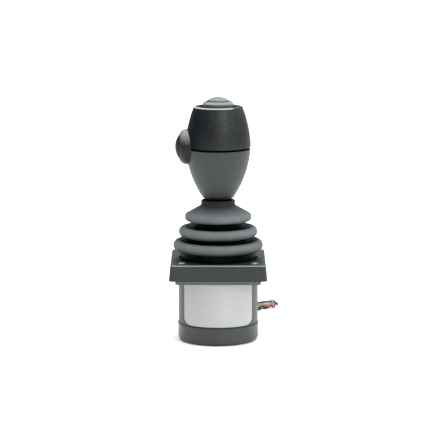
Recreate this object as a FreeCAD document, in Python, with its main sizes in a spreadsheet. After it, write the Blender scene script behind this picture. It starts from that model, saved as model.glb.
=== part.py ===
# Panel joystick with a gimballed stick, a two-button handle and sealed bellows, in millimetres.
# The base stands on z = 0 with the stick upright along +Z. -Y is the front, where the label is.
# +X is the side where the leads come out, and the side button points to -X.
import FreeCAD, Part
import math
import os
import re
import Sketcher

doc = FreeCAD.newDocument("joystick")
sheet = doc.addObject("Spreadsheet::Sheet", "Sizes")

# Every driving size: its name and its value.
sizes = {
    # play at fixed pieces, soft pieces, a pin in its bush, a pressed fit and a button in its bezel
    "fit_gap": 0.05,
    "soft_gap": 0.3,
    "running_gap": 0.04,
    "press_gap": 0.02,
    "button_gap": 0.35,
    # base cap and its seal
    "base_step": 0.1,
    "base_height": 12.5,
    "base_edge": 3.0,
    "base_floor": 2.4,
    "base_wall": 2.3,
    "base_rim": 0.35,
    "base_rim_height": 1.4,
    "seam_groove_height": 0.45,
    "seam_groove_depth": 0.8,
    "register_height": 3.0,
    "register_wall": 1.8,
    "seal_section": 0.5,
    "seal_below_top": 1.5,
    # housing
    "housing_margin": 3.0,
    "housing_wall": 2.4,
    "tube_height": 29.7,
    "ledge_overhang": 1.7,
    "ledge_height": 2.9,
    "ledge_corner": 2.0,
    "post_radius": 3.2,
    "post_overlap": 0.35,
    "pilot_depth": 8.5,
    # screws that hold the base cap
    "base_screw_radius": 1.5,
    "base_screw_head": 2.9,
    "base_screw_sink": 1.6,
    "base_screw_length": 22.0,
    "screw_rim": 0.2,
    "socket_span": 1.4,
    # label plate
    "label_span": 0.842,
    "label_thickness": 0.2,
    "label_corner": 4.5,
    "label_above_seam": 0.5,
    "label_below_ledge": 0.4,
    # wire outlet
    "outlet_angle": 30.0,
    "outlet_rise": 8.1,
    "outlet_radius": 3.6,
    "grommet_flange": 4.8,
    "grommet_lip": 1.1,
    "loom_radius": 1.6,
    # bezel and its four screws
    "bezel_rim": 4.2,
    "bezel_height": 10.9,
    "bezel_draft": 1.05,
    "bezel_recess": 2.3,
    "bezel_clearance": 0.9,
    "corner_inset": 4.6,
    "bezel_edge": 1.2,
    "bezel_corner": 3.4,
    "corner_screw_radius": 1.5,
    "corner_screw_head": 2.8,
    "corner_screw_sink": 1.6,
    "corner_screw_dome": 0.9,
    "corner_screw_length": 12.0,
    # gimbal carrier and its screws
    "carrier_brim": 6.3,
    "carrier_plate": 2.0,
    "carrier_wall": 2.2,
    "carrier_top": 10.1,
    "carrier_boss_wall": 1.8,
    "carrier_boss_proud": 1.3,
    "carrier_screw_inset": 2.0,
    "carrier_screw_radius": 1.0,
    "carrier_screw_head": 1.8,
    "carrier_screw_head_height": 1.3,
    "carrier_screw_length": 7.0,
    # gimbal
    "pivot_rise": 4.6,
    "ring_wall": 3.8,
    "ring_swing": 2.6,
    "ring_height": 7.0,
    "trunnion_radius": 2.0,
    "bush_wall": 0.9,
    "bush_lip": 0.8,
    "bush_brim": 0.66,
    "hub_radius": 6.6,
    "hub_swing": 4.6,
    "hub_height": 10.0,
    "cross_pin_radius": 1.0,
    # shaft and what it carries
    "shaft_radius": 4.0,
    "shaft_thread": 3.0,
    "shaft_reach": 13.0,
    "socket_depth": 7.2,
    "thread_length": 14.0,
    "magnet_radius": 4.0,
    "magnet_height": 3.5,
    "holder_web": 1.0,
    "holder_wall": 1.5,
    "holder_height": 9.0,
    # centring spring
    "seat_brim": 2.4,
    "seat_lip": 1.0,
    "seat_thickness": 0.8,
    "spring_wire": 0.9,
    "spring_inset": 1.8,
    "retainer_proud": 1.4,
    "retainer_height": 1.0,
    "retainer_groove": 0.5,
    "neck_depth": 12.3,
    "neck_wall": 4.2,
    "neck_brim": 1.2,
    "neck_flange_height": 1.5,
    # sensor board
    "spacer_height": 25.6,
    "board_play": 0.85,
    "board_thickness": 1.6,
    "board_notch": 0.6,
    "spacer_circle": 13.0,
    "spacer_radius": 2.6,
    "board_screw_radius": 1.0,
    "board_screw_head": 1.9,
    "board_screw_length": 6.0,
    "sensor_width": 6.5,
    "sensor_height": 1.4,
    "header_inset": 8.2,
    "header_depth": 6.0,
    "header_width": 14.0,
    "header_height": 5.0,
    "plug_height": 7.0,
    # bellows, ring by ring from the hem up, with the share of a ring's height that each rounding takes
    "boot_wall": 1.2,
    "hem_inset": 0.6,
    "hem_width": 2.4,
    "root_rise": 13.5,
    "low_ring_reach": 4.6,
    "low_ring_height": 7.4,
    "valley_dip": 0.5,
    "low_valley_depth": 9.2,
    "low_valley_half": 1.3,
    "mid_ring_reach": 5.45,
    "mid_ring_height": 7.0,
    "high_valley_depth": 10.45,
    "high_valley_height": 4.0,
    "top_ring_reach": 6.3,
    "top_ring_rise": 0.6,
    "top_ring_height": 4.1,
    "collar_wall": 2.9,
    "collar_rise": 6.2,
    "collar_height": 3.6,
    "ring_fullness": 0.45,
    "top_rounding": 1.7,
    "valley_rounding": 0.6,
    # handle shells
    "handle_gap": 1.4,
    "cone_height": 32.95,
    "cone_foot": 10.2,
    "cone_bulge": 67.1,
    "shell_wall": 2.4,
    "hub_wall": 3.0,
    "insert_radius": 5.5,
    "insert_height": 9.0,
    "rib_thickness": 1.8,
    "seam_height": 1.5,
    "seam_inset": 1.6,
    "lip_height": 3.5,
    "lip_wall": 1.6,
    "cap_step": 0.15,
    "waist_rise": 2.0,
    "cap_height": 27.15,
    "shoulder_inset": 4.95,
    "cap_bulge": 81.1,
    "rim_rounding": 1.6,
    "rim_land": 3.1,
    "moat_play": 1.7,
    "moat_depth": 2.0,
    "nut_height": 3.2,
    "nut_flats": 10.0,
    "side_rise": 1.45,
    "side_seat_inset": 3.85,
    # push buttons: the switch neck and its plunger are alike, the bezels are not
    "neck_thread": 6.0,
    "neck_length": 10.0,
    "plunger_radius": 1.9,
    "plunger_depth": 8.0,
    "plunger_gap": 0.3,
    "cup_floor": 1.2,
    "button_travel": 1.5,
    "cap_crown": 1.3,
    "button_wall": 1.5,
    "button_spring_wire": 0.3,
    "button_spring_radius": 4.2,
    "spring_pocket": 4.0,
    "button_nut_height": 2.5,
    "button_nut_flats": 16.0,
    "switch_width": 9.6,
    "switch_height": 7.0,
    "top_bezel_radius": 10.4,
    "top_shoulder": 3.9,
    "top_bezel_cone": 1.3,
    "top_lip": 0.8,
    "top_button_radius": 8.1,
    "top_button_height": 3.05,
    "side_seat_wall": 2.0,
    "side_bezel_radius": 12.0,
    "side_shoulder": 2.6,
    "side_bezel_cone": 5.1,
    "side_lip": 0.85,
    "side_button_radius": 8.7,
    "side_button_height": 3.25,
    "bezel_gap": 0.1,
    # loose coil of the leads behind the base
    "coil_radius": 17.5,
    "coil_gap": 19.25,
    "coil_turns": 2.0,
    "tie_width": 2.4,
    "tie_thickness": 0.6,
}
for row, (name, value) in enumerate(sizes.items(), 1):
    sheet.set("A%d" % row, name)
    sheet.set("B%d" % row, str(value))
    sheet.setAlias("B%d" % row, name)
doc.recompute()

# Radii and heights that follow from those, each in the sheet's own names. A piece's own chapter uses them.
derived = {
    "ring_inner": "hub_radius + hub_swing",
    "ring_outer": "ring_inner + ring_wall",
    "throat_radius": "ring_outer + ring_swing",
    "bush_flange": "trunnion_radius + running_gap + bush_wall + bush_brim",
    "carrier_radius": "throat_radius + carrier_brim",
    "carrier_screw_circle": "carrier_radius - carrier_screw_inset",
    "carrier_boss": "trunnion_radius + carrier_boss_wall",
    "carrier_boss_reach": "throat_radius - carrier_boss_proud",
    "housing_radius": "carrier_radius + housing_margin",
    "housing_bore": "housing_radius - housing_wall",
    "base_radius": "housing_radius + base_step",
    "post_circle": "housing_bore - post_radius + post_overlap",
    "ledge_z": "base_height + tube_height",
    "ledge_size": "2 * (housing_radius + ledge_overhang)",
    "bezel_z": "ledge_z + ledge_height",
    "bezel_size": "ledge_size + 2 * bezel_rim",
    "bezel_top": "bezel_z + bezel_height",
    "flange_z": "bezel_z + bezel_recess",
    "corner_pitch": "ledge_size - 2 * corner_inset",
    "label_width": "2 * label_span * housing_radius",
    "label_height": "tube_height - label_above_seam - label_below_ledge",
    "outlet_height": "base_height + outlet_rise",
    "carrier_top_z": "flange_z + carrier_top",
    "carrier_outer": "throat_radius + carrier_wall",
    "pivot_height": "flange_z + pivot_rise",
    "bush_outer": "trunnion_radius + running_gap + bush_wall",
    "board_radius": "housing_bore - board_play",
    "board_bottom": "base_floor + spacer_height",
    "board_top": "board_bottom + board_thickness",
    "header_radius": "board_radius - header_inset",
    "seat_inner": "throat_radius - seat_lip",
    "seat_outer": "throat_radius + seat_brim",
    "seat_top": "carrier_top_z + seat_thickness",
    "hem_radius": "ledge_size / 2 - hem_inset",
    "hem_top": "flange_z + fit_gap + boot_wall",
    "boot_root": "hem_radius - hem_width",
    "bezel_opening": "boot_root + bezel_clearance",
    "root_height": "flange_z + root_rise",
    "low_ring_radius": "boot_root + low_ring_reach",
    "low_ring_top": "root_height + low_ring_height",
    "low_rounding": "ring_fullness * low_ring_height",
    "low_valley_radius": "low_ring_radius - low_valley_depth",
    "low_valley_foot": "low_ring_top - valley_dip",
    "boot_split": "low_valley_foot + low_valley_half",
    "mid_ring_radius": "low_valley_radius + mid_ring_reach",
    "mid_ring_foot": "boot_split + low_valley_half",
    "mid_ring_top": "mid_ring_foot + mid_ring_height",
    "mid_rounding": "ring_fullness * mid_ring_height",
    "high_valley_radius": "mid_ring_radius - high_valley_depth",
    "high_valley_foot": "mid_ring_top - valley_dip",
    "high_valley_top": "high_valley_foot + high_valley_height",
    "top_ring_radius": "high_valley_radius + top_ring_reach",
    "top_ring_foot": "high_valley_top + top_ring_rise",
    "top_ring_top": "top_ring_foot + top_ring_height",
    "collar_bottom": "top_ring_top + collar_rise",
    "collar_top": "collar_bottom + collar_height",
    "neck_radius": "shaft_radius + neck_wall",
    "neck_flange": "neck_radius + neck_brim",
    "neck_bottom": "cone_bottom - neck_depth",
    "collar_radius": "neck_radius + soft_gap + collar_wall",
    "spring_base": "seat_outer - spring_inset",
    "spring_crown": "neck_flange - spring_inset",
    "retainer_ring": "shaft_radius + retainer_proud",
    "moat_radius": "top_bezel_radius + moat_play",
    "cap_shoulder": "moat_radius + rim_land + rim_rounding",
    "cone_radius": "cap_shoulder + shoulder_inset",
    "cone_bottom": "collar_top + handle_gap",
    "cone_top": "cone_bottom + cone_height",
    "shaft_shoulder": "cone_bottom + socket_depth",
    "shaft_top": "shaft_shoulder + thread_length",
    "shaft_bottom": "pivot_height - shaft_reach",
    "magnet_bottom": "shaft_bottom - holder_web - magnet_height",
    "holder_radius": "magnet_radius + holder_wall",
    "hub_outer": "insert_radius + hub_wall",
    "cap_bottom": "cone_top + seam_height",
    "cap_radius": "cone_radius + cap_step",
    "cap_waist": "cap_bottom + waist_rise",
    "cap_top": "cap_bottom + cap_height",
    "moat_z": "cap_top - moat_depth",
    "side_height": "cone_top + side_rise",
    "side_seat": "cone_radius - side_seat_inset",
    "top_lip_radius": "top_button_radius + top_lip",
    "side_lip_radius": "side_button_radius + side_lip",
    "coil_behind": "housing_radius + coil_gap + coil_radius + fit_gap",
}
register_radius = "(housing_bore - fit_gap)"
post_foot = "(base_height + register_height + fit_gap)"
post_angles = (90, 210, 330)
parts = {}


def renamed(expression, change):
    """The expression with each of its names changed."""
    return re.sub(r"[a-z]\w*", lambda word: change(word[0]), expression)


def spelled(expression):
    """The expression with each derived name written out."""
    return renamed(expression, lambda name: f"({spelled(derived[name])})" if name in derived else name)


def bound(expression):
    """The expression with every size's name read from the sheet."""
    return renamed(spelled(expression), lambda name: ("Sizes." if name in sizes else "") + name)


def number(expression):
    return float(sheet.evalExpression(spelled(expression)))


def tie(thing, prop, expression):
    """Binds a property to the sheet."""
    thing.setExpression(prop, bound(expression))


def move(thing, at, turn=None):
    """Places a thing at three expressions, turned by (axis, degrees)."""
    rotation = FreeCAD.Rotation(*turn) if turn else FreeCAD.Rotation()
    thing.Placement = FreeCAD.Placement(FreeCAD.Vector(*(number(value) for value in at)), rotation)
    for axis, value in zip("xyz", at):
        tie(thing, "Placement.Base." + axis, value)
    return thing


def part(thing):
    """Keeps a finished sub-part under its own label."""
    parts[thing.Name] = thing
    thing.Label = thing.Name
    return thing


def pin_point(sketch, side, end, across, up):
    """Ties one end of a side to a place on the sheet."""
    for kind, value, axis in (("DistanceX", across, -2), ("DistanceY", up, -1)):
        if value == "0":
            sketch.addConstraint(Sketcher.Constraint("PointOnObject", side, end, axis))
        else:
            index = sketch.addConstraint(Sketcher.Constraint(kind, -1, 1, side, end, number(value)))
            tie(sketch, "Constraints[%d]" % index, value)


def draw(sketch, corners):
    """Draws a closed outline through corners (across, up). A third entry is the radius of the arc that leads
    to that corner, with the hollow side on the left of the way it runs, or with a minus on the right."""
    points = [FreeCAD.Vector(number(c[0]), number(c[1]), 0) for c in corners]
    first = sketch.GeometryCount
    ends = []
    for i, corner in enumerate(corners):
        start, end = points[i - 1], points[i]
        if len(corner) == 2:
            sketch.addGeometry(Part.LineSegment(start, end))
            ends.append((1, 2))
            continue
        radius = number(corner[2].lstrip("-"))
        left = not corner[2].startswith("-")
        chord = end - start
        rise = math.sqrt(max(radius**2 - chord.Length**2 / 4, 0))
        normal = FreeCAD.Vector(-chord.y, chord.x, 0).normalize()
        centre = (start + end) / 2 + normal * (rise if left else -rise)
        low, high = (start, end) if left else (end, start)
        angles = [math.atan2(p.y - centre.y, p.x - centre.x) for p in (low, high)]
        circle = Part.Circle(centre, FreeCAD.Vector(0, 0, 1), radius)
        sketch.addGeometry(Part.ArcOfCircle(circle, *angles))
        ends.append((1, 2) if left else (2, 1))
    count = len(corners)
    for i in range(count):
        after = (i + 1) % count
        meeting = (first + i, ends[i][1], first + after, ends[after][0])
        sketch.addConstraint(Sketcher.Constraint("Coincident", *meeting))
        pin_point(sketch, first + i, ends[i][1], *corners[i][:2])
        if len(corners[i]) == 3:
            radius = corners[i][2].lstrip("-")
            index = sketch.addConstraint(Sketcher.Constraint("Radius", first + i, number(radius)))
            tie(sketch, "Constraints[%d]" % index, radius)


def draw_circle(sketch, across, up, radius):
    centre = FreeCAD.Vector(number(across), number(up), 0)
    side = sketch.addGeometry(Part.Circle(centre, FreeCAD.Vector(0, 0, 1), number(radius)))
    pin_point(sketch, side, 3, across, up)
    index = sketch.addConstraint(Sketcher.Constraint("Radius", side, number(radius)))
    tie(sketch, "Constraints[%d]" % index, radius)


def rounded_square(size, radius):
    """The corners of a square about the origin with round corners."""
    half = f"({size}) / 2"
    near = f"({half} - {radius})"
    return [
        (f"-{near}", f"-{half}", radius),
        (near, f"-{half}"),
        (half, f"-{near}", radius),
        (half, near),
        (near, half, radius),
        (f"-{near}", half),
        (f"-{half}", near, radius),
        (f"-{half}", f"-{near}"),
    ]


def on_circle(radius, angle):
    """The place at that angle on a circle, as two expressions."""
    return f"{radius} * cos({angle} * 1deg)", f"{radius} * sin({angle} * 1deg)"


def new_sketch(body, role, height="0"):
    """A sketch on one of the body's own planes, lifted along its normal."""
    plane = [feature for feature in body.Origin.OriginFeatures if feature.Role == role][0]
    sketch = body.newObject("Sketcher::SketchObject", body.Name + "_sketch")
    sketch.AttachmentSupport = [(plane, "")]
    sketch.MapMode = "FlatFace"
    tie(sketch, "AttachmentOffset.Base.z", height)
    return sketch


def feature(body, kind, sketch, **settings):
    """Adds a feature on a sketch. Text settings are expressions."""
    made = body.newObject("PartDesign::" + kind, body.Name + "_" + kind.lower())
    made.Profile = sketch
    for prop, value in settings.items():
        if isinstance(value, str):
            tie(made, prop, value)
        else:
            setattr(made, prop, value)
    return made


def turned(name, corners):
    """A body turned about Z from its half outline in XZ."""
    body = doc.addObject("PartDesign::Body", name)
    sketch = new_sketch(body, "XZ_Plane")
    draw(sketch, corners)
    feature(body, "Revolution", sketch, ReferenceAxis=(sketch, ["V_Axis"]), Angle=360.0)
    return body


def groove(body, corners):
    """Turns a groove into a body."""
    sketch = new_sketch(body, "XZ_Plane")
    draw(sketch, corners)
    return feature(body, "Groove", sketch, ReferenceAxis=(sketch, ["V_Axis"]), Angle=360.0)


def holes(body, places, radius, height, depth, upward=False):
    """Round holes that start at a height and run down, or up, by a depth."""
    sketch = new_sketch(body, "XY_Plane", height)
    for across, up in places:
        draw_circle(sketch, across, up, radius)
    return feature(body, "Pocket", sketch, Length=depth, Reversed=upward)


def prism(name, corners, height, low="0"):
    """A body raised from a flat outline."""
    body = doc.addObject("PartDesign::Body", name)
    sketch = new_sketch(body, "XY_Plane", low)
    draw(sketch, corners)
    feature(body, "Pad", sketch, Length=height)
    return body


def cylinder(name, radius, length, at, turn=None):
    made = doc.addObject("Part::Cylinder", name)
    tie(made, "Radius", radius)
    tie(made, "Height", length)
    return move(made, at, turn)


def block(name, length, width, height, at, turn=None):
    made = doc.addObject("Part::Box", name)
    tie(made, "Length", length)
    tie(made, "Width", width)
    tie(made, "Height", height)
    return move(made, at, turn)


def combine(kind, name, *shapes):
    """A boolean of two shapes, or of the first and all the others."""
    if kind in ("Cut", "Common"):
        made = doc.addObject("Part::" + kind, name)
        made.Base = shapes[0]
        made.Tool = shapes[1] if len(shapes) == 2 else combine("MultiFuse", name + "_tools", *shapes[1:])
        return made
    made = doc.addObject("Part::" + kind, name)
    made.Shapes = list(shapes)
    return made


def copies(name, source, places):
    """A group of the same piece at places (x, y, z, turn)."""
    links = []
    for i, (x, y, z, turn) in enumerate(places):
        link = doc.addObject("App::Link", "%s_%d" % (name, i + 1))
        link.LinkedObject = source
        links.append(move(link, (x, y, z), turn))
    group = doc.addObject("Part::Compound", name)
    group.Links = links
    return group


def hexagon(flats):
    """The corners of a hexagon by its width across flats."""
    return [on_circle(f"({flats}) / sqrt(3)", 60 * i) for i in range(6)]


def socket(screw, radius, height, upward, depth=None):
    """A hexagon socket in a screw's head, sized by the shank's radius, from a height inwards."""
    sketch = new_sketch(screw, "XY_Plane", height)
    draw(sketch, hexagon(f"socket_span * {radius}"))
    feature(screw, "Pocket", sketch, Length=depth or radius, Reversed=upward)


def sunk_screw(name, gap, dome=None):
    """A countersunk screw from its head's rim at z = 0 up, or its hole when there is a gap.
    Its head may be domed."""
    rim = f"{name}_head"
    head = [("0", f"-{gap}"), (f"{rim} + {gap}", f"-{gap}")]
    if dome:
        dome_radius = f"({rim} * {rim} + {dome} * {dome}) / (2 * {dome})"
        head = [("0", f"-{dome}"), (rim, "0", dome_radius)]
    return turned(name if gap == "0" else name + "_hole", head + [
        (f"{rim} + {gap}", f"screw_rim + {gap}"),
        (f"{name}_radius + {gap}", f"{name}_sink + {gap}"),
        (f"{name}_radius + {gap}", f"{name}_length + {gap}"),
        ("0", f"{name}_length + {gap}"),
    ])


def rounded_path(corners):
    """A wire of straight runs joined by tangent arcs, through (point, radius) corners, and its bend radii.
    A bend without a radius takes a set share of the shorter run beside it."""
    bend_share = 0.45
    edges = []
    radii = []
    here = corners[0][0]
    for (before, _), (corner, radius), (after, _) in zip(corners, corners[1:], corners[2:]):
        back = (before - corner).normalize()
        onward = (after - corner).normalize()
        half = back.getAngle(onward) / 2
        if radius is None:
            shorter = min((before - corner).Length, (after - corner).Length)
            radius = bend_share * shorter * math.tan(half)
        cut_back = radius / math.tan(half)
        middle = corner + (back + onward).normalize() * (radius / math.sin(half) - radius)
        edges.append(Part.LineSegment(here, corner + back * cut_back).toShape())
        edges.append(Part.Arc(corner + back * cut_back, middle, corner + onward * cut_back).toShape())
        here = corner + onward * cut_back
        radii.append(radius)
    edges.append(Part.LineSegment(here, corners[-1][0]).toShape())
    return Part.Wire(edges), radii


def own_shape(name, shape):
    """A sub-part whose shape comes from Part's own functions."""
    made = doc.addObject("Part::Feature", name)
    made.Shape = shape
    return part(made)


def spring(low_radius, high_radius, low, high, turns, wire):
    """An open spring about Z: short straight runs along a helix, with an eight-sided wire."""
    runs_per_turn = 12
    wire_sides = 8
    steps = turns * runs_per_turn
    radii = (number(low_radius), number(high_radius))
    heights = (number(low), number(high))
    section_radius = number(wire)
    points = []
    for i in range(steps + 1):
        share = i / steps
        angle = share * turns * 2 * math.pi
        radius = radii[0] + share * (radii[1] - radii[0])
        height = heights[0] + share * (heights[1] - heights[0])
        points.append(FreeCAD.Vector(radius * math.cos(angle), radius * math.sin(angle), height))
    path = Part.makePolygon(points)
    along = (points[1] - points[0]).normalize()
    out = FreeCAD.Vector(1, 0, 0)
    across = along.cross(out).normalize()
    out = across.cross(along)
    corners = []
    for i in range(wire_sides + 1):
        angle = i * 2 * math.pi / wire_sides
        corners.append(points[0] + (out * math.cos(angle) + across * math.sin(angle)) * section_radius)
    return path.makePipeShell([Part.makePolygon(corners)], True, False, 1)


# Base cap: a cup with a register that enters the housing, a groove for the seal and three screw bosses.
base_inner = "(base_radius - base_wall)"
register_inner = f"({register_radius} - register_wall)"
register_top = "(base_height + register_height)"
posts = [on_circle("post_circle", angle) for angle in post_angles]
base_blank = turned("base_cap_blank", [
    ("0", "0"),
    ("base_radius - base_edge", "0"),
    ("base_radius", "base_edge", "base_edge"),
    ("base_radius", "base_height - base_rim_height"),
    ("base_radius + base_rim", "base_height - base_rim_height + base_rim"),
    ("base_radius + base_rim", "base_height - seam_groove_height"),
    ("housing_radius - seam_groove_depth", "base_height - seam_groove_height"),
    ("housing_radius - seam_groove_depth", "base_height"),
    (register_radius, "base_height"),
    (register_radius, register_top),
    (register_inner, register_top),
    (register_inner, "base_height - register_wall"),
    (base_inner, "base_height - 2 * register_wall - base_wall"),
    (base_inner, "base_floor"),
    ("0", "base_floor"),
])
boss_sketch = new_sketch(base_blank, "XY_Plane", "base_floor")
for place in posts:
    draw_circle(boss_sketch, *place, "post_radius - housing_wall / 4")
feature(base_blank, "Pad", boss_sketch, Length=f"{register_top} - base_floor")
seal_z = f"({register_top} - seal_below_top)"
seal_floor = f"({register_radius} - 2 * seal_section)"
groove(base_blank, [
    (seal_floor, f"{seal_z} - seal_section - fit_gap"),
    (f"{register_radius} + fit_gap", f"{seal_z} - seal_section - fit_gap"),
    (f"{register_radius} + fit_gap", f"{seal_z} + seal_section + fit_gap"),
    (seal_floor, f"{seal_z} + seal_section + fit_gap"),
])
base_screw = sunk_screw("base_screw", "0")
socket(base_screw, "base_screw_radius", "0", True)
base_drill = sunk_screw("base_screw", "fit_gap")
drills = copies("base_drills", base_drill, [(*place, "0", None) for place in posts])
part(combine("Cut", "base_cap", base_blank, drills))
part(copies("base_screws", base_screw, [(*place, "0", None) for place in posts]))
base_seal = doc.addObject("Part::Torus", "base_seal")
tie(base_seal, "Radius1", "housing_bore - seal_section - fit_gap / 2")
tie(base_seal, "Radius2", "seal_section")
part(move(base_seal, ("0", "0", seal_z)))

# Housing: a tube under a square ledge, with a round throat, three screw posts and the wire outlet.
housing_blank = turned("housing_blank", [
    ("housing_bore", "base_height"),
    ("housing_radius", "base_height"),
    ("housing_radius", "flange_z"),
    ("throat_radius", "flange_z"),
    ("throat_radius", "ledge_z"),
    ("housing_bore", "ledge_z"),
])
ledge_sketch = new_sketch(housing_blank, "XY_Plane", "ledge_z")
draw(ledge_sketch, rounded_square("ledge_size", "ledge_corner"))
draw_circle(ledge_sketch, "0", "0", "throat_radius")
feature(housing_blank, "Pad", ledge_sketch, Length="ledge_height + bezel_recess")
post_sketch = new_sketch(housing_blank, "XY_Plane", post_foot)
for place in posts:
    draw_circle(post_sketch, *place, "post_radius")
feature(housing_blank, "Pad", post_sketch, Length=f"ledge_z - {post_foot}")
holes(housing_blank, posts, "base_screw_radius + fit_gap", post_foot, "pilot_depth", upward=True)
carrier_screw_places = [on_circle("carrier_screw_circle", angle) for angle in post_angles]
holes(housing_blank, carrier_screw_places, "carrier_screw_radius + fit_gap", "flange_z",
      "carrier_screw_length")
corners = [(f"{i} * corner_pitch / 2", f"{j} * corner_pitch / 2") for i in (-1, 1) for j in (-1, 1)]
corner_depth = "(corner_screw_length + flange_z - bezel_top + fit_gap)"
holes(housing_blank, corners, "corner_screw_radius + fit_gap", "flange_z", corner_depth)
outlet_way = FreeCAD.Vector(
    math.cos(math.radians(number("outlet_angle"))), math.sin(math.radians(number("outlet_angle"))), 0
)
outlet_turn = FreeCAD.Rotation(FreeCAD.Vector(0, 0, 1), outlet_way)
outlet_drill = cylinder("outlet_drill", "outlet_radius", "housing_radius", ("0", "0", "outlet_height"))
outlet_drill.Placement.Rotation = outlet_turn
part(combine("Cut", "housing", housing_blank, outlet_drill))

# Label plate: a thin shell on the front of the housing, with its lower corners rounded.
label_shell = turned("label_shell", [
    ("housing_radius + fit_gap", "base_height + label_above_seam"),
    ("housing_radius + fit_gap + label_thickness", "base_height + label_above_seam"),
    ("housing_radius + fit_gap + label_thickness", "base_height + label_above_seam + label_height"),
    ("housing_radius + fit_gap", "base_height + label_above_seam + label_height"),
])
label_outline = doc.addObject("PartDesign::Body", "label_outline")
label_sketch = new_sketch(label_outline, "XZ_Plane")
label_foot = "(base_height + label_above_seam)"
draw(label_sketch, [
    ("-label_width / 2 + label_corner", label_foot, "label_corner"),
    ("label_width / 2 - label_corner", label_foot),
    ("label_width / 2", f"{label_foot} + label_corner", "label_corner"),
    ("label_width / 2", f"{label_foot} + label_height"),
    ("-label_width / 2", f"{label_foot} + label_height"),
    ("-label_width / 2", f"{label_foot} + label_corner"),
])
feature(label_outline, "Pad", label_sketch, Length="base_radius")
part(combine("Common", "label", label_shell, label_outline))

# Wire outlet: a rubber grommet through the housing wall, and the inner end of the loom in it.
flange_seat = "(sqrt(housing_bore * housing_bore - grommet_flange * grommet_flange) - fit_gap)"
grommet = part(turned("grommet", [
    ("loom_radius + fit_gap", f"{flange_seat} - grommet_lip"),
    ("grommet_flange", f"{flange_seat} - grommet_lip"),
    ("grommet_flange", flange_seat),
    ("outlet_radius - fit_gap", flange_seat),
    ("outlet_radius - fit_gap", "housing_radius + fit_gap"),
    ("grommet_flange", "housing_radius + fit_gap"),
    ("grommet_flange - grommet_lip / 2", "housing_radius + fit_gap + grommet_lip"),
    ("loom_radius + fit_gap", "housing_radius + fit_gap + grommet_lip"),
]))
move(grommet, ("0", "0", "outlet_height")).Placement.Rotation = outlet_turn
plug_face = "(header_radius + header_depth)"
inner_loom = cylinder("inner_loom", "loom_radius", f"housing_radius + grommet_lip - fit_gap - {plug_face}", (
    f"{plug_face} * cos(outlet_angle * 1deg)",
    f"{plug_face} * sin(outlet_angle * 1deg)",
    "outlet_height",
))
inner_loom.Placement.Rotation = outlet_turn
part(inner_loom)

# Bezel: a drafted square with a round opening, a shallow recess for the ledge and a groove for the
# hem of the bellows.
bezel_blank = doc.addObject("PartDesign::Body", "bezel_blank")
bezel_sketch = new_sketch(bezel_blank, "XY_Plane", "bezel_z")
draw(bezel_sketch, rounded_square("bezel_size", "bezel_corner"))
bezel_pad = feature(bezel_blank, "Pad", bezel_sketch, Length="bezel_height",
                    TaperAngle="-atan(bezel_draft / bezel_height)")
doc.recompute()
height_slack = 0.01
rim_edges = [
    "Edge%d" % (i + 1)
    for i, edge in enumerate(bezel_pad.Shape.Edges)
    if min(vertex.Z for vertex in edge.Vertexes) > number("bezel_top") - height_slack
]
bezel_fillet = bezel_blank.newObject("PartDesign::Fillet", "bezel_fillet")
bezel_fillet.Base = (bezel_pad, rim_edges)
tie(bezel_fillet, "Radius", "bezel_edge")
holes(bezel_blank, [("0", "0")], "bezel_opening", "bezel_z", "bezel_height", upward=True)
recess_sketch = new_sketch(bezel_blank, "XY_Plane", "bezel_z")
draw(recess_sketch, rounded_square("ledge_size + 4 * fit_gap", "ledge_corner"))
feature(bezel_blank, "Pocket", recess_sketch, Length="bezel_recess", Reversed=True)
holes(bezel_blank, [("0", "0")], "hem_radius + soft_gap", "flange_z", "boot_wall + 2 * fit_gap", upward=True)
corner_screw = sunk_screw("corner_screw", "0", "corner_screw_dome")
socket(corner_screw, "corner_screw_radius", "-corner_screw_dome", True,
       "corner_screw_radius + corner_screw_dome")
corner_drill = sunk_screw("corner_screw", "fit_gap")
flipped = (FreeCAD.Vector(1, 0, 0), 180)
corner_places = [(*place, "bezel_top", flipped) for place in corners]
part(combine("Cut", "bezel", bezel_blank, copies("corner_drills", corner_drill, corner_places)))
part(copies("bezel_screws", corner_screw, corner_places))

# Gimbal carrier: a plate on the ledge with a round wall, which carries the two fixed trunnion pins.
carrier_turned = turned("carrier_turned", [
    ("throat_radius", "flange_z"),
    ("carrier_radius", "flange_z"),
    ("carrier_radius", "flange_z + carrier_plate"),
    ("carrier_outer", "flange_z + carrier_plate"),
    ("carrier_outer", "carrier_top_z"),
    ("throat_radius", "carrier_top_z"),
])
holes(carrier_turned, carrier_screw_places, "carrier_screw_radius + fit_gap", "flange_z + carrier_plate",
      "carrier_plate")
boss_length = "carrier_outer - carrier_boss_reach - carrier_wall / 2"
to_right = (FreeCAD.Vector(0, 1, 0), 90)
to_left = (FreeCAD.Vector(0, 1, 0), -90)
to_back = (FreeCAD.Vector(1, 0, 0), -90)
to_front = (FreeCAD.Vector(1, 0, 0), 90)
carrier_bosses = [
    cylinder("carrier_boss_right", "carrier_boss", boss_length,
             ("carrier_boss_reach", "0", "pivot_height"), to_right),
    cylinder("carrier_boss_left", "carrier_boss", boss_length,
             ("-carrier_boss_reach", "0", "pivot_height"), to_left),
]
carrier_blank = combine("MultiFuse", "carrier_blank", carrier_turned, *carrier_bosses)
pin_drill = cylinder("pin_drill", "trunnion_radius + press_gap", "2 * carrier_radius",
                     ("-carrier_radius", "0", "pivot_height"), to_right)
part(combine("Cut", "gimbal_carrier", carrier_blank, pin_drill))
carrier_head_edge = "carrier_screw_head_height / 2"
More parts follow.
